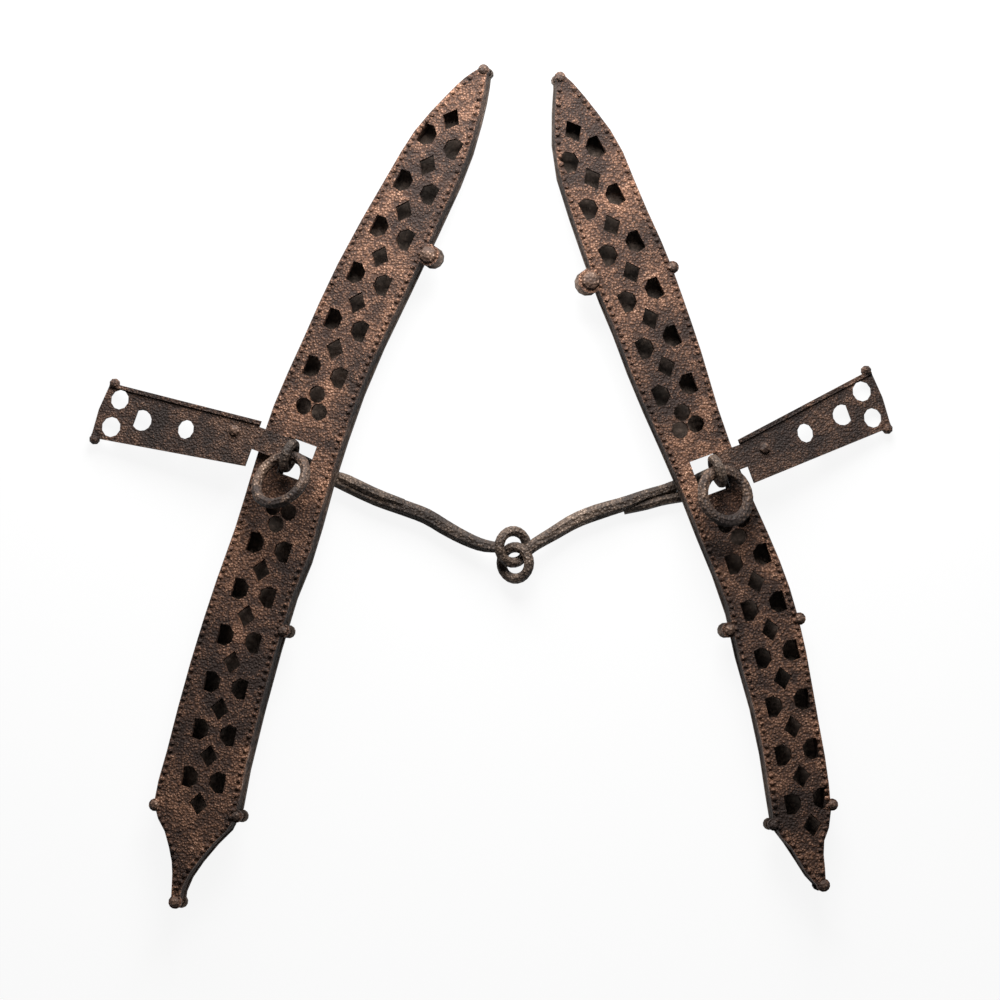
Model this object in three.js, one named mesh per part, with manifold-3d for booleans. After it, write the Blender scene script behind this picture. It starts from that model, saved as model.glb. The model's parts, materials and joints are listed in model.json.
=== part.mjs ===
// A jointed iron horse bit with long openwork cheekpieces, lying spread flat on the ground.
// Millimetres, +Z up. Each cheekpiece is a thin riveted box: an openwork front plate, an edge strip
// and a plain back plate. Each half of the mouthpiece is one forging that ends in an eye, which comes
// up through the slot of its cheekpiece and holds a rein ring. A strap plate hangs on the margin of
// each slot. In each cheekpiece's own frame +X is to the right, +Y runs to the upper tip and +Z is
// the front; "in" means towards the mouthpiece.
import * as THREE from "three";
import { mergeVertices } from "three/addons/utils/BufferGeometryUtils.js";
import Module from "manifold-3d";

// Clearances
const GAP = 0.3; // between pieces that rest on each other
const PLAY = 0.6; // round a piece that turns in another

// Cheekpiece box
const BOX = 8; // over both plates
const FRONT = 1.6;
const BACK = 1.4;
const STRIP = 1.4;
const SLOT_WIDTH = 11;
const SLOT_LENGTH = 13.5;
const AXIS_RADIUS = 720; // the gentle bow of both cheekpieces

// Openwork
const REPEATS = 6;
const LOZENGE_WIDTH = 7;
const LOZENGE_LENGTH = 8.8;
const PANE_RADIUS = 4.1; // half-round opening, flat side out
const PANE_OFFSET = 6; // from the axis
const PANE_FLAT = 3; // from the centre of the round to the flat
const LOBE_RADIUS = 3.2; // trefoil near the slot

// Forged bars
const WIRE = 1.9; // radius of the linked loops
const LOOP = 5.7; // radius of their centrelines
const LOOP_TILT = 29;
const EYE_WIRE = 1.75;
const EYE = 4.6;
const EYE_ACROSS = -1.3; // the eye stands on the outer side of the slot's middle
const EYE_ALONG = 0.4;

// Strap plates
const SHEET = 1.2;
const TONGUE = 8.4;
const TONGUE_UP = 2.2; // the tongue enters the upper part of the slot
const THROAT = 4.4; // inner height of the folded tongue
const RIDGE = 0.6;
const PIN = 1.2; // radius of every rivet's shank

const RUST = { roughness: 0.85, metalness: 0.55 };
const material = (color) => new THREE.MeshStandardMaterial({ color, ...RUST });

// Left and right differ as the old pieces do. Stations run from the lower tip to the upper one:
// distance along the axis, half width in, half width out, and where the openwork's axis lies.
const LEFT = {
  name: "left",
  inward: 1,
  at: [-70.9, 9.2],
  heading: -20,
  tilt: 14,
  pitch: { up: 18.4, down: 17.3 },
  stations: [
    [-164, -3.4, 6.4, -5],
    [-158, -3, 6.9, -5],
    [-150, 0.6, 8.2, -4],
    [-140, 6.8, 12.6, -3],
    [-131, 12.3, 18.4, -2],
    [-112, 12.7, 17.3, -1.5],
    [-80, 13.6, 16, -1],
    [-50, 14.2, 14.6, 0.2],
    [-30, 15.8, 13.6, 0.8],
    [-10, 14.6, 14.2, 0],
    [15, 13.4, 15.2, -1.5],
    [40, 12.6, 14.4, -2],
    [70, 13.2, 14.1, -1],
    [104, 12.4, 12.4, -0.6],
    [124, 10.4, 11.4, -1],
    [140, 6.4, 7.8, -2],
    [149, 3.2, 5.2, -2],
    [155, 0.4, 2.2, -2],
  ],
  rivets: {
    lobe: [86.9, 14.9, 4, 3.2],
    lower_in: [-60.5, 14.6, 2.4, 1.8],
    foot_in: [-130, 12.8, 2.3, 1.7],
    foot_out: [-131.5, -18, 2.3, 1.7],
    toe: [-164, -4.9, 2.4, 1.9],
    crown: [155, -0.9, 1.9, 1.7],
  },
  strap: { skew: -7.5, length: 57, wide: 21, narrow: 17.2, lift: 6.2 },
};
const RIGHT = {
  name: "right",
  inward: -1,
  at: [74.5, 4],
  heading: 20.2,
  tilt: 9.5,
  pitch: { up: 18, down: 17.8 },
  stations: [
    [-153, -1.6, 4, -3],
    [-147, 2.4, 4.6, -3],
    [-138, 5.9, 5.6, -3],
    [-129, 10.8, 10, -2.6],
    [-112, 10.2, 11.8, -2],
    [-92, 9.4, 12.6, -3],
    [-66, 10, 14.4, -3.6],
    [-45, 9, 14.6, -3.6],
    [-25, 10.6, 12.9, -2.8],
    [-4, 11.4, 11, -0.6],
    [20, 12.6, 11.4, 1.4],
    [40, 13, 13.6, 0.4],
    [60, 11.8, 15.6, -1.6],
    [78, 10.8, 17.4, -2.8],
    [100, 7.8, 18.6, -4.4],
    [120, 3.9, 20.8, -6.6],
    [135, -2.6, 19.4, -9],
    [147, -11, 17.4, -14],
    [151, -13.6, 15.8, -14.6],
  ],
  rivets: {
    lobe: [81.5, 12, 4.6, 3.5],
    upper_out: [73, -17.2, 2.3, 1.7],
    lower_in: [-55.5, 10.9, 2.8, 2],
    lower_out: [-58.6, -15, 2.3, 1.7],
    foot_in: [-128, 11.2, 2.2, 1.7],
    foot_out: [-125, -11.2, 2.2, 1.7],
    toe: [-152.5, -3.2, 2.4, 1.9],
    crown: [150.5, -14.7, 2, 1.7],
  },
  strap: { skew: 4.6, length: 55, wide: 22, narrow: 16.6, lift: -0.4 },
};

const RAD = THREE.MathUtils.degToRad;
const wasm = await Module();
wasm.setup();

function solidOf(geometry) {
  const plain = geometry.index ? geometry.toNonIndexed() : geometry.clone();
  plain.deleteAttribute("normal");
  plain.deleteAttribute("uv");
  const merged = mergeVertices(plain, 1e-4);
  return new wasm.Manifold(
    new wasm.Mesh({
      numProp: 3,
      vertProperties: merged.attributes.position.array,
      triVerts: new Uint32Array(merged.index.array),
    }),
  );
}

function geometryOf(solid) {
  const mesh = solid.getMesh();
  const geometry = new THREE.BufferGeometry();
  geometry.setAttribute("position", new THREE.BufferAttribute(mesh.vertProperties, 3));
  geometry.setIndex(new THREE.BufferAttribute(mesh.triVerts, 1));
  geometry.computeVertexNormals();
  return geometry;
}

const join = (...geometries) =>
  geometryOf(geometries.map(solidOf).reduce((whole, next) => whole.add(next)));
const cut = (body, ...tools) =>
  geometryOf(tools.map(solidOf).reduce((rest, tool) => rest.subtract(tool), solidOf(body)));

function piece(name, geometry, color) {
  const mesh = new THREE.Mesh(geometry, material(color));
  mesh.name = name;
  return mesh;
}

// A flat blank between two heights
function blank(shape, from, to, curveSegments = 8) {
  const geometry = new THREE.ExtrudeGeometry(shape, {
    depth: to - from,
    bevelEnabled: false,
    curveSegments,
  });
  return geometry.translate(0, 0, from);
}

function disc(x, y, radius, from, to, sides = 12) {
  const geometry = new THREE.CylinderGeometry(radius, radius, to - from, sides);
  return geometry.rotateX(Math.PI / 2).translate(x, y, (from + to) / 2);
}

// A closed loft of round sections along a curve, with the radius given at each step
function forged(points, radii, steps, sides = 8) {
  const curve = new THREE.CatmullRomCurve3(points, false, "centripetal");
  const frames = curve.computeFrenetFrames(steps, false);
  const positions = [];
  const index = [];
  for (let i = 0; i <= steps; i++) {
    const middle = curve.getPoint(i / steps);
    const where = (i / steps) * (radii.length - 1);
    const before = Math.min(Math.floor(where), radii.length - 2);
    const radius = THREE.MathUtils.lerp(radii[before], radii[before + 1], where - before);
    for (let j = 0; j < sides; j++) {
      const turn = (j / sides) * 2 * Math.PI;
      const out = frames.normals[i].clone().multiplyScalar(Math.cos(turn) * radius);
      out.addScaledVector(frames.binormals[i], Math.sin(turn) * radius).add(middle);
      positions.push(...out);
      const a = i * sides + j;
      const b = i * sides + ((j + 1) % sides);
      if (i < steps) index.push(a, b, a + sides, b, b + sides, a + sides);
    }
  }
  const last = steps * sides;
  for (let j = 1; j < sides - 1; j++) {
    index.push(0, j + 1, j, last, last + j, last + j + 1);
  }
  const geometry = new THREE.BufferGeometry();
  geometry.setAttribute("position", new THREE.Float32BufferAttribute(positions, 3));
  geometry.setIndex(index);
  return geometry;
}

// A point of the bowed plate: s along its axis, d inwards from it
function bowed(side, s, d) {
  const turn = s / AXIS_RADIUS;
  return new THREE.Vector2(
    side.inward * (AXIS_RADIUS - (AXIS_RADIUS - d) * Math.cos(turn)),
    (AXIS_RADIUS - d) * Math.sin(turn),
  );
}

// The width stations as two smooth edges
function edges(side) {
  const rail = (pick) =>
    new THREE.SplineCurve(side.stations.map((row) => new THREE.Vector2(row[0], pick(row))));
  return { inner: rail((row) => row[1]), outer: rail((row) => -row[2]) };
}

// Closed outline of a plate, inset from its edge
function outline(side, inset, steps = 34) {
  const { inner, outer } = edges(side);
  const up = [];
  const down = [];
  for (let i = 0; i <= steps; i++) {
    const a = inner.getPoint(i / steps);
    const b = outer.getPoint(i / steps);
    if (a.y - b.y < 2 * inset + 1) continue;
    up.push(bowed(side, a.x, a.y - inset));
    down.push(bowed(side, b.x, b.y + inset));
  }
  return new THREE.Shape([...up, ...down.reverse()]);
}

// Where the openwork's axis lies at a distance along the plate
function axisAt(side, s) {
  const rows = side.stations;
  const next = rows.findIndex((row) => row[0] >= s);
  const [a, b] = [rows[next - 1], rows[next]];
  return THREE.MathUtils.mapLinear(s, a[0], b[0], a[3], b[3]);
}

const slotShape = () => {
  const [w, l] = [SLOT_WIDTH / 2, SLOT_LENGTH / 2];
  return [
    [-w, -l],
    [w, -l],
    [w, l],
    [-w, l],
  ].map(([x, y]) => new THREE.Vector2(x, y));
};

function lozenge(side, s) {
  const d = axisAt(side, s);
  return [
    bowed(side, s - LOZENGE_LENGTH / 2, d),
    bowed(side, s, d + LOZENGE_WIDTH / 2),
    bowed(side, s + LOZENGE_LENGTH / 2, d),
    bowed(side, s, d - LOZENGE_WIDTH / 2),
  ];
}

// Half-round opening whose flat faces the edge named by `towards`
function pane(side, s, towards) {
  const d = axisAt(side, s);
  const points = [];
  for (let i = 0; i <= 5; i++) {
    const turn = RAD(-122 + (244 * i) / 5);
    const bulge = Math.max(-PANE_FLAT, PANE_RADIUS * Math.cos(turn));
    points.push(
      bowed(side, s + PANE_RADIUS * Math.sin(turn), d + towards * (PANE_OFFSET - bulge)),
    );
  }
  return points;
}

// Three overlapping lobes: two side by side, one pointing away from the slot
function trefoil(side, way) {
  const middle = way * 21;
  const lobes = [
    [-2.2, -3.1],
    [-2.2, 3.1],
    [3.4, 0],
  ];
  return lobes.map(([along, across]) => {
    const at = bowed(side, middle + way * along, axisAt(side, middle) + across);
    return disc(at.x, at.y, LOBE_RADIUS, 0, BOX + 1, 10);
  });
}

function openings(side) {
  const holes = [slotShape()];
  for (const way of [1, -1]) {
    const pitch = way > 0 ? side.pitch.up : side.pitch.down;
    for (let i = 0; i < REPEATS; i++) {
      const pair = way * (33 + pitch * i);
      const diamond = way * (41.8 + pitch * i);
      holes.push(pane(side, pair, 1), pane(side, pair, -1), lozenge(side, diamond));
    }
  }
  const prisms = holes.map((points) => blank(new THREE.Shape(points), 0, BOX + 1));
  return [...prisms, ...trefoil(side, 1), ...trefoil(side, -1)];
}

const ears = (side, from, to) =>
  Object.values(side.rivets).map(([s, d, radius]) => {
    const at = bowed(side, s, d);
    return disc(at.x, at.y, radius, from, to);
  });
const rivetHoles = (side, from, to) =>
  Object.values(side.rivets).map(([s, d]) => {
    const at = bowed(side, s, d);
    return disc(at.x, at.y, PIN + GAP, from, to, 8);
  });

function frontPlate(side) {
  const from = BOX - FRONT;
  const plate = join(blank(outline(side, 0), from, BOX), ...ears(side, from, BOX));
  const body = cut(plate, ...openings(side), ...rivetHoles(side, 0, BOX + 1));
  return piece(side.name + "_front_plate", body, 0x5a3d2b);
}

function backPlate(side) {
  const plate = join(blank(outline(side, 0, 24), 0, BACK), ...ears(side, 0, BACK));
  const slot = blank(new THREE.Shape(slotShape()), -1, BOX);
  const body = cut(plate, slot, ...rivetHoles(side, -1, BOX));
  return piece(side.name + "_back_plate", body, 0x3a2a22);
}

// The band between the plates, notched where the strap's tongue passes
function edgeStrip(side) {
  const band = blank(outline(side, GAP, 28), BACK + GAP, BOX - FRONT - GAP);
  const inside = blank(outline(side, GAP + STRIP, 28), 0, BOX);
  const notch = new THREE.BoxGeometry(12, TONGUE + 4 * PLAY, BOX);
  notch.translate(-side.inward * 15, TONGUE_UP, BACK + 2 * GAP + BOX / 2);
  return piece(side.name + "_edge_strip", cut(band, inside, notch, ...rivetHoles(side, 0, BOX)), 0x30231d);
}

// Domed head, shank and flat peened tail, turned on one profile
function rivet(name, length, head, top) {
  const tail = PIN + 0.6;
  const profile = [[0, -length - GAP - 0.7]];
  profile.push([tail, -length - GAP - 0.7], [tail, -length - GAP], [PIN, -length - GAP]);
  profile.push([PIN, GAP]);
  for (let i = 0; i < 3; i++) {
    const turn = RAD(i * 32);
    profile.push([head * Math.cos(turn), GAP + top * Math.sin(turn)]);
  }
  profile.push([0, GAP + top]);
  const points = profile.map(([x, y]) => new THREE.Vector2(x, y));
  const turned = new THREE.LatheGeometry(points, 8).rotateX(Math.PI / 2);
  return piece(name, turned, 0x6a4a35);
}

function cheekpiece(side) {
  const box = new THREE.Group();
  box.add(frontPlate(side), backPlate(side), edgeStrip(side));
  for (const [name, [s, d, , head]] of Object.entries(side.rivets)) {
    const at = bowed(side, s, d);
    const stud = rivet(side.name + "_rivet_" + name, BOX, head, 0.5 * head);
    stud.position.set(at.x, at.y, BOX);
    box.add(stud);
  }
  return box;
}

// Strap plate in the frame of its hinge: +X outwards along the strap, +Z up
function strapOutline(side, margin) {
  const { length, wide, narrow, skew } = side.strap;
  const start = margin / 2 + 2.6;
  const far = start + length;
  const slope = Math.tan(RAD(skew * side.inward));
  const lift = (x) => -(x - start) * slope;
  const shape = new THREE.Shape();
  shape.moveTo(start, -narrow / 2);
  shape.lineTo(far, lift(far) - wide / 2);
  shape.lineTo(far + 0.8, lift(far));
  shape.lineTo(far, lift(far) + wide / 2);
  shape.lineTo(start, narrow / 2);
  return { shape, far, start, lift };
}

function strapHoles({ far, start, lift }) {
  const spots = [
    [far - 5.6, 5.2, 3.6, 3.7],
    [far - 5.2, -5.2, 3.4, 3.6],
    [far - 15, 0.4, 4, 3.8],
    [start + (far - start) * 0.44, 0.2, 3, 3.5],
  ];
  return spots.map(([x, y, along, across], n) => {
    const path = new THREE.Path();
    const middle = lift(x) + y;
    if (n === 2) {
      path.moveTo(x + along + 0.6, middle);
      path.absarc(x - 0.4, middle, across, RAD(50), RAD(310), false);
    } else {
      path.absellipse(x, middle, along, across, 0, 2 * Math.PI, false, 0);
    }
    return path;
  });
}

// The tongue is one sheet folded round the slot's margin and laid back under the strap plate
function foldedTongue(margin, up) {
  const [w, h] = [margin / 2 + PLAY - 0.1, THROAT / 2];
  const loop = new THREE.Shape(
    [
      [w + 9.5, h + SHEET],
      [-w - SHEET + 0.8, h + SHEET],
      [-w - SHEET, h + SHEET - 0.8],
      [-w - SHEET, -h - SHEET + 0.8],
      [-w - SHEET + 0.8, -h - SHEET],
      [w + 1.5, -h - SHEET],
      [w + 7, h - SHEET],
      [w + 14, h - SHEET],
      [w + 14, h + 0.4],
      [w + 6.4, h + 0.4],
      [w + 1, -h],
      [-w, -h],
      [-w, h],
      [w + 5, h],
    ].map(([x, y]) => new THREE.Vector2(x, y)),
  );
  const profile = new THREE.ExtrudeGeometry(loop, { depth: TONGUE, bevelEnabled: false });
  return profile.rotateX(Math.PI / 2).translate(0, TONGUE / 2 + up, 0);
}

function strapPlate(side, margin) {
  const form = strapOutline(side, margin);
  const { far, start, lift } = form;
  form.shape.holes = strapHoles(form);
  const level = THROAT / 2;
  const plate = blank(form.shape, level, level + SHEET, 5);
  const up = -side.inward * TONGUE_UP;
  const parts = [plate, foldedTongue(margin, up)];
  const { wide, narrow } = side.strap;
  for (const hand of [1, -1]) {
    const a = new THREE.Vector3(start, (hand * (narrow - 1.4)) / 2, 0);
    const b = new THREE.Vector3(far, lift(far) + (hand * (wide - 1.4)) / 2, 0);
    const ridge = new THREE.BoxGeometry(a.distanceTo(b), 1.4, RIDGE + 0.3);
    ridge.rotateZ(Math.atan2(b.y - a.y, b.x - a.x));
    ridge.translate((a.x + b.x) / 2, (a.y + b.y) / 2, level + SHEET + RIDGE / 2 - 0.15);
    parts.push(ridge);
    const knob = new THREE.SphereGeometry(2, 8, 5).rotateX(Math.PI / 2);
    knob.translate(far - 1.4, lift(far) + hand * (wide / 2 + 0.2), level + SHEET / 2);
    parts.push(knob);
  }
  const pin = margin / 2 + PLAY + 10;
  const body = cut(join(...parts), disc(pin, up, PIN + GAP, -BOX, BOX, 10));
  const fixing = rivet(side.name + "_strap_rivet", 2 * SHEET, 2.1, 1.1);
  fixing.position.set(pin, up, level + SHEET);
  return [piece(side.name + "_strap_plate", body, 0x5e4331), fixing];
}

// The strap hinge stands on the middle of the margin between the slot and the plate's outer edge
function strapGroup(side, margin) {
  const hinge = new THREE.Group();
  hinge.name = side.name + "_strap_hinge";
  hinge.position.set(-side.inward * (SLOT_WIDTH / 2 + margin / 2), 0, BOX - FRONT / 2);
  hinge.rotation.y = RAD(side.inward * side.strap.lift);
  const turned = new THREE.Group();
  turned.rotation.z = side.inward > 0 ? Math.PI : 0;
  turned.add(...strapPlate(side, margin));
  hinge.add(turned);
  return hinge;
}

// A cheekpiece turned and tilted on the ground, its inner edge raised on the bar
function laidSide(side) {
  const frame = new THREE.Group();
  frame.name = side.name + "_cheek";
  frame.rotation.order = "ZYX";
  frame.rotation.z = RAD(side.heading);
  frame.rotation.y = -RAD(side.tilt) * side.inward;
  frame.add(cheekpiece(side));
  frame.position.set(side.at[0], side.at[1], 0);
  frame.updateMatrixWorld(true);
  frame.position.z = -new THREE.Box3().setFromObject(frame, true).min.z;
  const margin = -edges(side).outer.getPoint(0.53).y - SLOT_WIDTH / 2;
  frame.add(strapGroup(side, margin));
  frame.updateMatrixWorld(true);
  return frame;
}

const left = laidSide(LEFT);
const right = laidSide(RIGHT);
const inCheek = (frame, side, d, y, w) =>
  new THREE.Vector3(side.inward * d, y, w).applyMatrix4(frame.matrixWorld);

// A loop of the centre link, tilted so that it passes over its fellow on one side
function linkLoop(x, y, z, lean) {
  const loop = new THREE.TorusGeometry(LOOP, WIRE, 8, 22);
  return loop.rotateY(RAD(lean)).translate(x, y, z);
}

function eyeRing(frame, side, height) {
  const ring = new THREE.TorusGeometry(EYE, EYE_WIRE, 8, 18).rotateY(Math.PI / 2);
  ring.translate(side.inward * EYE_ACROSS, EYE_ALONG, height);
  return ring.applyMatrix4(frame.matrixWorld);
}

// The shank from the eye down through the slot, in the frame of the cheekpiece
function shank(frame, side, height) {
  const foot = height - EYE;
  return [
    inCheek(frame, side, EYE_ACROSS, EYE_ALONG, foot - 0.2),
    inCheek(frame, side, EYE_ACROSS + 1.3, EYE_ALONG, foot - 3),
    inCheek(frame, side, 2.2, 0, -0.6),
    inCheek(frame, side, 5, -0.4, -3).setZ(2.1),
  ];
}

const v = (x, y, z) => new THREE.Vector3(x, y, z);
const LINK_Z = 4.6;
const LEFT_LOOP = [5, -21.6];
const RIGHT_LOOP = [5.8, -27.4];
const LEFT_EYE_HEIGHT = 13.4;
const RIGHT_EYE_HEIGHT = 14.9;

function leftBar() {
  const path = [
    ...shank(left, LEFT, LEFT_EYE_HEIGHT),
    v(-61.5, 4, 3),
    v(-56.9, 1.8, 3),
    v(-44.6, -4, 3),
    v(-34.2, -7.6, 2.9),
    v(-26.3, -10.6, 2.8),
    v(-19.1, -14.9, 3),
    v(-12.6, -18.4, 3.6),
    v(-6.1, -21, 5),
    v(-0.4, -21.8, 6.4),
  ];
  const main = forged(path, [1.8, 2.1, 2.1, 2.1, 2.7, 3, 3, 3.1, 3.1, 3, 2.8, 2.5, 2], 30);
  const tail = forged(
    [v(-60, 4.2, 3.4), v(-56, 3, 4.6), v(-44, -2.6, 4.8), v(-34.6, -6, 4.4)],
    [1.7, 2, 2, 1.7],
    8,
    8,
  );
  const loop = linkLoop(...LEFT_LOOP, LINK_Z, LOOP_TILT);
  const eye = eyeRing(left, LEFT, LEFT_EYE_HEIGHT);
  return piece("left_mouth_bar", join(eye, main, tail, loop), 0x6e5a4b);
}

function rightBar() {
  const path = [
    ...shank(right, RIGHT, RIGHT_EYE_HEIGHT),
    v(63.5, 0.4, 2.2),
    v(59.8, -1, 2.2),
    v(53.3, -3, 2.3),
    v(45.4, -6, 2.6),
    v(35.6, -9, 2.9),
    v(27.4, -12.2, 3),
    v(19.4, -16.9, 4),
    v(12.2, -21.2, 6),
    v(9.6, -23.6, 6.6),
  ];
  const main = forged(path, [1.8, 2.1, 2.1, 2.1, 2.2, 2.2, 2.4, 2.8, 3.1, 3, 2.7, 2.4, 2], 30);
  const tail = forged(
    [v(66, -3.4, 2.1), v(59, -4.6, 2.1), v(52.5, -6.4, 2.1), v(45, -8.4, 2.2)],
    [2.1, 2.1, 2.1, 1.6],
    8,
    8,
  );
  const loop = linkLoop(...RIGHT_LOOP, LINK_Z, -LOOP_TILT);
  const eye = eyeRing(right, RIGHT, RIGHT_EYE_HEIGHT);
  return piece("right_mouth_bar", join(eye, main, tail, loop), 0x6e5a4b);
}

// A rein ring threaded through an eye. Its long axis lies level; its low side leans on the plate.
function reinRing(name, frame, side, height, form) {
  const turn = new THREE.Group();
  turn.name = side.name + "_ring_hinge";
  turn.position.copy(inCheek(frame, side, EYE_ACROSS, EYE_ALONG, height));
  const level = v(Math.cos(RAD(form.bearing)), Math.sin(RAD(form.bearing)), 0);
  const across = v(level.y, -level.x, 0).multiplyScalar(side.inward);
  const rise = across.multiplyScalar(Math.cos(RAD(form.slope)));
  rise.z = Math.sin(RAD(form.slope));
  const reach = RAD(form.reach);
  const centre = level.clone().multiplyScalar(-form.radius * Math.cos(reach));
  centre.addScaledVector(rise, form.radius * Math.sin(reach));
  const section = new THREE.EllipseCurve(form.radius, 0, form.width, form.depth);
  const turned = new THREE.LatheGeometry(section.getPoints(8), 26);
  turned.rotateX(Math.PI / 2);
  const ring = piece(name, turned, 0x8a6a52);
  const basis = new THREE.Matrix4().makeBasis(level, rise, level.clone().cross(rise));
  ring.quaternion.setFromRotationMatrix(basis);
  ring.position.copy(centre);
  turn.add(ring);
  return turn;
}

const bit = new THREE.Group();
bit.name = "horse_bit";
bit.add(left, right, leftBar(), rightBar());
bit.add(
  reinRing("left_rein_ring", left, LEFT, LEFT_EYE_HEIGHT, {
    radius: 10,
    width: 1.9,
    depth: 1.9,
    bearing: 40,
    slope: 43,
    reach: 41,
  }),
);
bit.add(
  reinRing("right_rein_ring", right, RIGHT, RIGHT_EYE_HEIGHT, {
    radius: 9.3,
    width: 2.2,
    depth: 1.6,
    bearing: 118,
    slope: 30,
    reach: 12,
  }),
);

// The frame's origin stands on the ground under the middle of the whole
bit.updateMatrixWorld(true);
const bounds = new THREE.Box3().setFromObject(bit, true);
const middle = bounds.getCenter(new THREE.Vector3());
bit.position.set(-middle.x, -middle.y, -bounds.min.z);

export default bit;
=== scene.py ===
# A jointed horse bit of forged and rusted iron, laid flat and seen from straight above.
import json

import bpy
import numpy as np
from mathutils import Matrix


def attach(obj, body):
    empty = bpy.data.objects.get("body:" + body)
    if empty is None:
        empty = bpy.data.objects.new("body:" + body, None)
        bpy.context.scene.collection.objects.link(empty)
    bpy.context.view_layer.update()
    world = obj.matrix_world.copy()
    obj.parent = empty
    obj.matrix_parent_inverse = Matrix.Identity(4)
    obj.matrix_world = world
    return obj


# The camera looks straight down on the bit, which lies on a table. The view is 360 mm
# wide at the height that the view distance is measured to, 8 mm above the ground.
VIEW_WIDTH = 0.36
VIEW_DISTANCE = 1.1
VIEW_HEIGHT = 0.008
VIEW_CENTRE = (0.0032, -0.0045)
FILM_WIDTH = 36
eye = bpy.data.objects.new("camera", bpy.data.cameras.new("camera"))
eye.location = (*VIEW_CENTRE, VIEW_DISTANCE + VIEW_HEIGHT)
eye.data.lens = FILM_WIDTH * VIEW_DISTANCE / VIEW_WIDTH
eye.data.sensor_width = FILM_WIDTH
eye.data.clip_end = 20
bpy.context.scene.collection.objects.link(eye)
bpy.context.scene.camera = eye

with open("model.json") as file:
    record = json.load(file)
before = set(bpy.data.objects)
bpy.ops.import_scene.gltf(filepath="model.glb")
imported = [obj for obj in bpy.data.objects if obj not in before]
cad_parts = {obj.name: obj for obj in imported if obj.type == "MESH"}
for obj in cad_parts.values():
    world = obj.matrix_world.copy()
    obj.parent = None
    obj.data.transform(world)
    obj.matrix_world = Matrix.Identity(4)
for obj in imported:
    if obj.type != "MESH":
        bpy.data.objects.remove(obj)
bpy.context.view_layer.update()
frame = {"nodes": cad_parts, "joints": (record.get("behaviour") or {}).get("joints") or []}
nodes = frame["nodes"]

# The front plates are the openwork skins of the cheekpieces, cut from sheet iron and held
# to the boxes by rivets. Their rust is grainy, and its highest grains take a copper-tan
# glint that is partly worn iron and partly a painted highlight.
DULL_SHINE = 0.35
PATCHES_PER_METRE = 46.0
SPECKS_PER_METRE = 420.0
CRUSTS_PER_METRE = 150.0


class Value:
    """A shader socket that takes part in Python expressions, each adding one Math node."""

    def __init__(self, tree, socket):
        self.tree = tree
        self.socket = socket

    def maths(self, operation, other, flipped=False):
        made = self.tree.nodes.new("ShaderNodeMath")
        made.operation = operation
        for slot, term in enumerate([other, self] if flipped else [self, other]):
            if isinstance(term, Value):
                self.tree.links.new(term.socket, made.inputs[slot])
            else:
                made.inputs[slot].default_value = term
        return Value(self.tree, made.outputs[0])

    def __add__(self, other):
        return self.maths("ADD", other)

    def __sub__(self, other):
        return self.maths("SUBTRACT", other)

    def __rsub__(self, other):
        return self.maths("SUBTRACT", other, flipped=True)

    def __mul__(self, other):
        return self.maths("MULTIPLY", other)


class Finish:
    """A material, with the calls that add nodes to it."""

    def __init__(self, name):
        self.material = bpy.data.materials.new(name)
        self.material.use_nodes = True
        self.tree = self.material.node_tree
        self.shader = self.tree.nodes["Principled BSDF"]
        self.shader.inputs["Specular IOR Level"].default_value = DULL_SHINE

    def node(self, kind, settings=None, out=0, **inputs):
        """Adds a node with its settings, and gives the output of that number or name. An
        input is set by its name, or as _number where its name isn't a plain word."""
        made = self.tree.nodes.new("ShaderNode" + kind)
        for key, value in (settings or {}).items():
            setattr(made, key, value)
        for key, value in inputs.items():
            slot = made.inputs[int(key[1:]) if key[1:].isdigit() else key]
            if isinstance(value, Value):
                self.tree.links.new(value.socket, slot)
            else:
                slot.default_value = value
        return Value(self.tree, made.outputs[out])

    def share(self, value, low, high):
        """How far the value has come from low to high, kept between 0 and 1."""
        return self.node("MapRange", Value=value, _1=low, _2=high)

    def blend(self, amount, under, over):
        """The colour under, turned by that amount into the colour over."""
        return self.node("Mix", {"data_type": "RGBA"}, 2, _0=amount, _6=under, _7=over)

    def give(self, name, value):
        self.tree.links.new(value.socket, self.shader.inputs[name])


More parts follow.
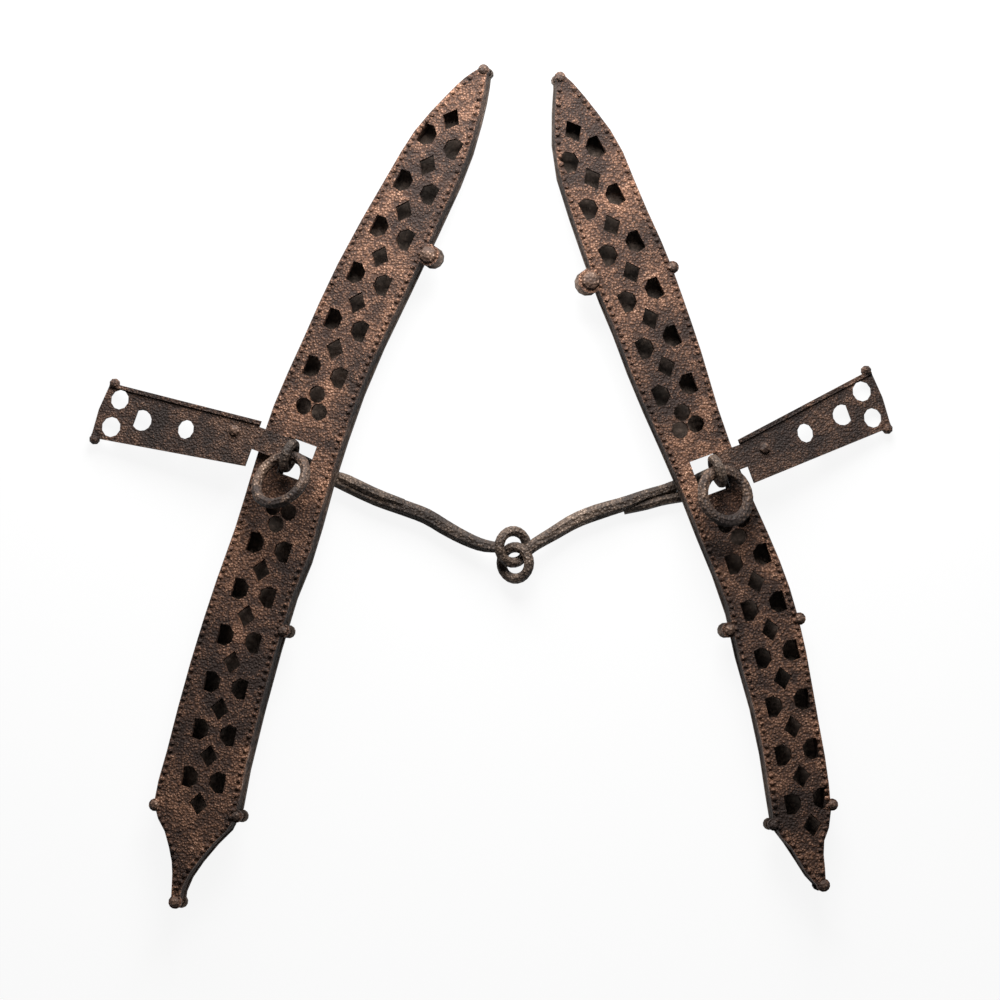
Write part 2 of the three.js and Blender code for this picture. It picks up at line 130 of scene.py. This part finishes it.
def rusted(name, deep, ground, bloom, glint, grain, roughness, lift, wear_and_highlight):
    """Rusted iron. Its height is a weighted sum of round grains, fine specks and a coarser
    crust. Broad patches blend the deep and the ground colour, and high places take the
    bloom. The highest take the glint, more of them as wear grows; that glint is partly
    worn iron and partly a painted highlight. Grain is the size of one grain in metres,
    and lift is how strongly the height shades the surface."""
    iron = Finish(name)
    place = iron.node("TexCoord", out="Object")
    patch = iron.node("TexNoise", Vector=place, Scale=PATCHES_PER_METRE, Detail=6.0, Roughness=0.66)
    fine = iron.node("TexNoise", Vector=place, Scale=SPECKS_PER_METRE, Detail=6.0, Roughness=0.7)
    cells = iron.node("TexVoronoi", {"feature": "SMOOTH_F1"}, Vector=place, Scale=1 / grain,
                      Smoothness=0.35, Randomness=0.9)
    crust = iron.node("TexNoise", Vector=place, Scale=CRUSTS_PER_METRE, Detail=4.0, Roughness=0.6)
    dome = 1 - cells * 1.35
    rise = dome * 0.55 + fine * 0.75 + crust * 0.5 - 0.55
    thin = iron.share(patch + crust * 0.35 + fine * 0.25, low=0.68, high=0.98)
    body = iron.blend(thin, (*deep, 1), (*ground, 1))
    tops = iron.share(rise * 0.8 + patch * 1.1, low=0.72, high=1.22)
    tinted = iron.blend(tops * 0.85, body, (*bloom, 1))
    # The glint on the highest grains is partly worn iron and partly a painted highlight.
    worn_and_highlit = iron.share(rise + patch * 0.7, low=0.98 - 0.2 * wear_and_highlight, high=1.22)
    full = iron.blend(worn_and_highlit * 0.8, tinted, (*glint, 1))
    iron.give("Base Color", full)
    iron.give("Roughness", roughness + 0.18 - tops * 0.3)
    iron.give("Metallic", tops * 0.3)
    iron.give("Normal", iron.node("Bump", Strength=lift, Distance=grain * 0.8, Height=rise))
    return iron.material


def dress(material, *names):
    """Gives the material to CAD nodes."""
    for name in names:
        nodes[name].data.materials.clear()
        nodes[name].data.materials.append(material)


for side in ("left", "right"):
    front = rusted(
        side + "_front",
        deep=(0.016, 0.007, 0.004),
        ground=(0.070, 0.032, 0.018),
        bloom=(0.31, 0.150, 0.085),
        glint=(0.62, 0.40, 0.28),
        grain=0.00085,
        roughness=0.58,
        lift=0.85,
        wear_and_highlight=0.7,
    )
    dress(front, side + "_front_plate")

# The beaded borders are rows of small beads punched up from the iron sheet, along both
# edges of each front plate. The outer row leaves out the slot of the strap's tongue. Sizes
# are in millimetres, as in part.mjs, but a bead's radius and height are in metres.
BOX_DEPTH = 8.0
HINGE_HEIGHT = 4.0
BOW_RADIUS = 720.0
BEAD_INSET = 1.25
BEAD_PITCH = 2.7
BEAD_SUNK = 0.1
BARE_END = 5.0
BARE_SLOT = 8.0
BEAD_RADIUS = 0.00098
BEAD_HEIGHT = 0.00075
BEAD_FOOT = 0.8
BEAD_SPREAD = (0.8, 1.12)
BEAD_RINGS = (-35, 0, 35, 65)
BEAD_SIDES = 8
MM_IN_METRE = 1000


def smooth_edge(stations, steps=700):
    """An edge as distance along the plate against half width: a Catmull-Rom curve through
    the stations, at evenly spaced parameter values. Between stations b and c it is a cubic
    whose slope at each is half the step between that station's two neighbours."""
    points = np.array(stations, float)
    t = np.linspace(0, len(points) - 1 - 1e-9, steps)
    i = np.floor(t).astype(int)
    f = (t - i)[:, None]
    last = len(points) - 1
    a, b, c, d = (points[np.clip(i + k, 0, last)] for k in (-1, 0, 1, 2))
    v0, v1 = (c - a) / 2, (d - b) / 2
    return (2 * b - 2 * c + v0 + v1) * f**3 + (-3 * b + 3 * c - 2 * v0 - v1) * f**2 + v0 * f + b


def bead_row(spots, radius, height, up, name, body, finish):
    """Low domes on the given points. A dome's ring at the angle k lies height times sin(k)
    above the point and has radius times cos(k), and a point closes it below and above.
    Each dome is scaled by its own seeded share, so that no two are quite alike."""
    rng = np.random.default_rng(len(spots))
    size = rng.uniform(*BEAD_SPREAD, len(spots))
    turn = np.linspace(0, 2 * np.pi, BEAD_SIDES, endpoint=False)
    rise = np.radians(BEAD_RINGS)
    side_a = np.cross(up, [0.0, 1.0, 0.0])
    side_a = side_a / np.linalg.norm(side_a)
    side_b = np.cross(up, side_a)
    circle = np.cos(turn)[:, None] * side_a + np.sin(turn)[:, None] * side_b
    wide = np.cos(rise)[:, None, None] * radius * circle
    tall = np.sin(rise)[:, None, None] * height * up
    poles = [-BEAD_FOOT * height * up, height * up]
    dome = np.vstack([(wide + tall).reshape(-1, 3), poles])
    points = (spots[:, None, :] + size[:, None, None] * dome[None]).reshape(-1, 3)
    low = np.arange(BEAD_SIDES)
    following = (low + 1) % BEAD_SIDES
    band = np.stack([low, following, following + BEAD_SIDES, low + BEAD_SIDES], 1)
    quads = np.vstack([band + n * BEAD_SIDES for n in range(len(rise) - 1)])
    last = (len(rise) - 1) * BEAD_SIDES
    foot = np.full(BEAD_SIDES, len(dome) - 2)
    peak = np.full(BEAD_SIDES, len(dome) - 1)
    under = np.stack([following, low, foot], 1)
    over = np.stack([last + low, last + following, peak], 1)
    caps = np.vstack([under, over])
    shift = (np.arange(len(spots)) * len(dome))[:, None, None]
    walls = (quads[None] + shift).reshape(-1, 4).tolist()
    faces = walls + (caps[None] + shift).reshape(-1, 3).tolist()
    mesh = bpy.data.meshes.new(name)
    mesh.from_pydata(points.tolist(), [], faces)
    mesh.polygons.foreach_set("use_smooth", [True] * len(mesh.polygons))
    mesh.materials.append(finish)
    made = bpy.data.objects.new(name, mesh)
    bpy.context.scene.collection.objects.link(made)
    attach(made, body)


# Each side: which way is inwards, heading and tilt in degrees, and its stations from the
# lower tip to the upper one as distance along, half width in and half width out.
borders = {
    "left": (1, -20.0, 14.0,
             [(-164, -3.4, 6.4), (-158, -3, 6.9), (-150, 0.6, 8.2), (-140, 6.8, 12.6), (-131, 12.3, 18.4),
              (-112, 12.7, 17.3), (-80, 13.6, 16), (-50, 14.2, 14.6), (-30, 15.8, 13.6), (-10, 14.6, 14.2),
              (15, 13.4, 15.2), (40, 12.6, 14.4), (70, 13.2, 14.1), (104, 12.4, 12.4), (124, 10.4, 11.4),
              (140, 6.4, 7.8), (149, 3.2, 5.2), (155, 0.4, 2.2)]),
    "right": (-1, 20.2, 9.5,
              [(-153, -1.6, 4), (-147, 2.4, 4.6), (-138, 5.9, 5.6), (-129, 10.8, 10), (-112, 10.2, 11.8),
               (-92, 9.4, 12.6), (-66, 10, 14.4), (-45, 9, 14.6), (-25, 10.6, 12.9), (-4, 11.4, 11),
               (20, 12.6, 11.4), (40, 13, 13.6), (60, 11.8, 15.6), (78, 10.8, 17.4), (100, 7.8, 18.6),
               (120, 3.9, 20.8), (135, -2.6, 19.4), (147, -11, 17.4), (151, -13.6, 15.8)]),
}
for side, (inward, heading, tilt, rows) in borders.items():
    fold = next(j for j in frame["joints"] if j["name"] == side + "_cheek_fold")
    h, t = np.radians(heading), np.radians(-tilt * inward)
    along = np.array([-np.sin(h), np.cos(h), 0.0])
    across = np.array([np.cos(t) * np.cos(h), np.cos(t) * np.sin(h), -np.sin(t)])
    up = np.array([np.sin(t) * np.cos(h), np.sin(t) * np.sin(h), np.cos(t)])
    origin = np.array(fold["pos_m"]) * MM_IN_METRE - HINGE_HEIGHT * up
    for edge, sign in ((1, 1), (2, -1)):
        line = smooth_edge([(row[0], sign * row[edge]) for row in rows])
        bow = line[:, 0] / BOW_RADIUS
        reach = BOW_RADIUS - (line[:, 1] - sign * BEAD_INSET)
        flat = np.stack([inward * (BOW_RADIUS - reach * np.cos(bow)), reach * np.sin(bow)], 1)
        run = np.concatenate([[0], np.cumsum(np.linalg.norm(np.diff(flat, axis=0), axis=1))])
        marks = np.arange(BARE_END, run[-1] - BARE_END, BEAD_PITCH)
        spots = np.stack([np.interp(marks, run, flat[:, 0]), np.interp(marks, run, flat[:, 1])], 1)
        if sign < 0:
            spots = spots[np.abs(spots[:, 1]) > BARE_SLOT]
        level = (BOX_DEPTH - BEAD_SUNK) * up
        placed = (origin + spots[:, :1] * across + spots[:, 1:] * along + level) / MM_IN_METRE
        row_name = side + ("_inner" if sign > 0 else "_outer") + "_beads"
        finish = nodes[side + "_front_plate"].data.materials[0]
        bead_row(placed, BEAD_RADIUS, BEAD_HEIGHT, up, row_name, side + "_cheek", finish)

# The back plates are plain sheets of iron that close the boxes behind the openwork, held
# by the same rivets. They are smoother and greyer than the fronts.
back = rusted(
    "back_sheet",
    deep=(0.030, 0.022, 0.017),
    ground=(0.085, 0.060, 0.046),
    bloom=(0.15, 0.105, 0.080),
    glint=(0.16, 0.11, 0.08),
    grain=0.0020,
    roughness=0.7,
    lift=0.35,
    wear_and_highlight=0.2,
)
dress(back, "left_back_plate", "right_back_plate")

# The edge strips are the side walls of the boxes, each bent from one narrow band of iron
# sheet and held between the two plates. Their colours are darker and duller than the
# plates' iron, a painted shade for walls that face sideways out of the light.
shaded_wall = rusted(
    "shaded_side_wall",
    deep=(0.012, 0.008, 0.006),
    ground=(0.045, 0.026, 0.018),
    bloom=(0.12, 0.07, 0.045),
    glint=(0.22, 0.14, 0.10),
    grain=0.0015,
    roughness=0.68,
    lift=0.6,
    wear_and_highlight=0.3,
)
dress(shaded_wall, "left_edge_strip", "right_edge_strip")

# The rivets are short iron pins with hammered heads. Most tie a front plate to its back
# plate, and one closes each strap's fold. Their heads are more worn than the sheets, so
# more of their grains take the glint, which is partly a painted highlight.
stud = rusted(
    "rivet_iron",
    deep=(0.022, 0.012, 0.008),
    ground=(0.085, 0.046, 0.030),
    bloom=(0.22, 0.13, 0.085),
    glint=(0.48, 0.33, 0.25),
    grain=0.0011,
    roughness=0.52,
    lift=0.6,
    wear_and_highlight=0.9,
)
dress(stud, *[name for name in nodes if "rivet" in name])

# The strap plates are single iron sheets, folded round the slot's margin and riveted to
# themselves. The bridle's leather is fastened through their holes.
strap = rusted(
    "strap_sheet",
    deep=(0.012, 0.006, 0.004),
    ground=(0.046, 0.022, 0.013),
    bloom=(0.17, 0.088, 0.052),
    glint=(0.56, 0.36, 0.25),
    grain=0.0008,
    roughness=0.58,
    lift=0.85,
    wear_and_highlight=0.5,
)
dress(strap, "left_strap_plate", "right_strap_plate")

# The two mouth bars are forged from iron and linked loop in loop. Wear from the mouth
# leaves them greyer than the front plates.
bar = rusted(
    "mouth_bar_iron",
    deep=(0.015, 0.009, 0.006),
    ground=(0.055, 0.036, 0.025),
    bloom=(0.19, 0.130, 0.092),
    glint=(0.50, 0.39, 0.31),
    grain=0.0010,
    roughness=0.5,
    lift=0.8,
    wear_and_highlight=0.6,
)
dress(bar, "left_mouth_bar", "right_mouth_bar")

# The rein rings are round iron bar bent into a ring and closed on itself. Each one is
# threaded through the eye at its mouth bar's outer end.
ring = rusted(
    "rein_ring_iron",
    deep=(0.013, 0.007, 0.005),
    ground=(0.050, 0.029, 0.019),
    bloom=(0.20, 0.122, 0.080),
    glint=(0.52, 0.38, 0.29),
    grain=0.0011,
    roughness=0.5,
    lift=0.8,
    wear_and_highlight=0.7,
)
dress(ring, "left_rein_ring", "right_rein_ring")

# The table is a plain white sheet just under the bit. Most of what the camera and the
# reflections see of it is its own white glow, so only a faint soft shadow shows.
TABLE_REACH = 3.0
TABLE_TOP = -0.0004
GLOW_SHARE = 0.9
table = bpy.data.meshes.new("table")
sides = ((-1, -1), (1, -1), (1, 1), (-1, 1))
corners = [(x * TABLE_REACH, y * TABLE_REACH, TABLE_TOP) for x, y in sides]
table.from_pydata(corners, [], [(0, 1, 2, 3)])
floor = bpy.data.objects.new("table", table)
bpy.context.scene.collection.objects.link(floor)
white = Finish("white_table")
white.shader.inputs["Base Color"].default_value = (0.86, 0.86, 0.86, 1)
white.shader.inputs["Roughness"].default_value = 0.9
camera_ray = white.node("LightPath", out="Is Camera Ray")
glossy_ray = white.node("LightPath", out="Is Glossy Ray")
seen = camera_ray.maths("MAXIMUM", glossy_ray)
glow = white.node("Emission", Strength=1.0)
plain = Value(white.tree, white.shader.outputs[0])
mixed = white.node("MixShader", _0=seen * GLOW_SHARE, _1=plain, _2=glow)
white.tree.links.new(mixed.socket, white.tree.nodes["Material Output"].inputs["Surface"])
table.materials.append(white.material)

# The studio has one large soft lamp towards the top of the picture, a smaller one low at the
# same side that rakes the grain, and a dim white surround. Each lamp has a place, a width
# in metres and a power in watts.
LIT_SPOT = (0.0, 0.03, 0.0)
SURROUND = 0.07
lamps = {"key": ((0.04, 0.34, 0.22), 0.26, 4.5), "rake": ((-0.16, 0.36, 0.11), 0.16, 1.3)}
for name, (place, size, power) in lamps.items():
    lamp = bpy.data.objects.new(name, bpy.data.lights.new(name, "AREA"))
    lamp.data.size = size
    lamp.data.energy = power
    lamp.location = place
    aim = np.array(LIT_SPOT) - np.array(place)
    tip = float(np.arctan2(np.hypot(aim[0], aim[1]), -aim[2]))
    swing = float(np.arctan2(aim[1], aim[0]) - np.pi / 2)
    lamp.rotation_euler = (tip, 0.0, swing)
    bpy.context.scene.collection.objects.link(lamp)
surround = bpy.data.worlds.new("studio")
surround.use_nodes = True
surround.node_tree.nodes["Background"].inputs["Color"].default_value = (1, 1, 1, 1)
surround.node_tree.nodes["Background"].inputs["Strength"].default_value = SURROUND
bpy.context.scene.world = surround
bpy.context.scene.view_settings.view_transform = "Standard"
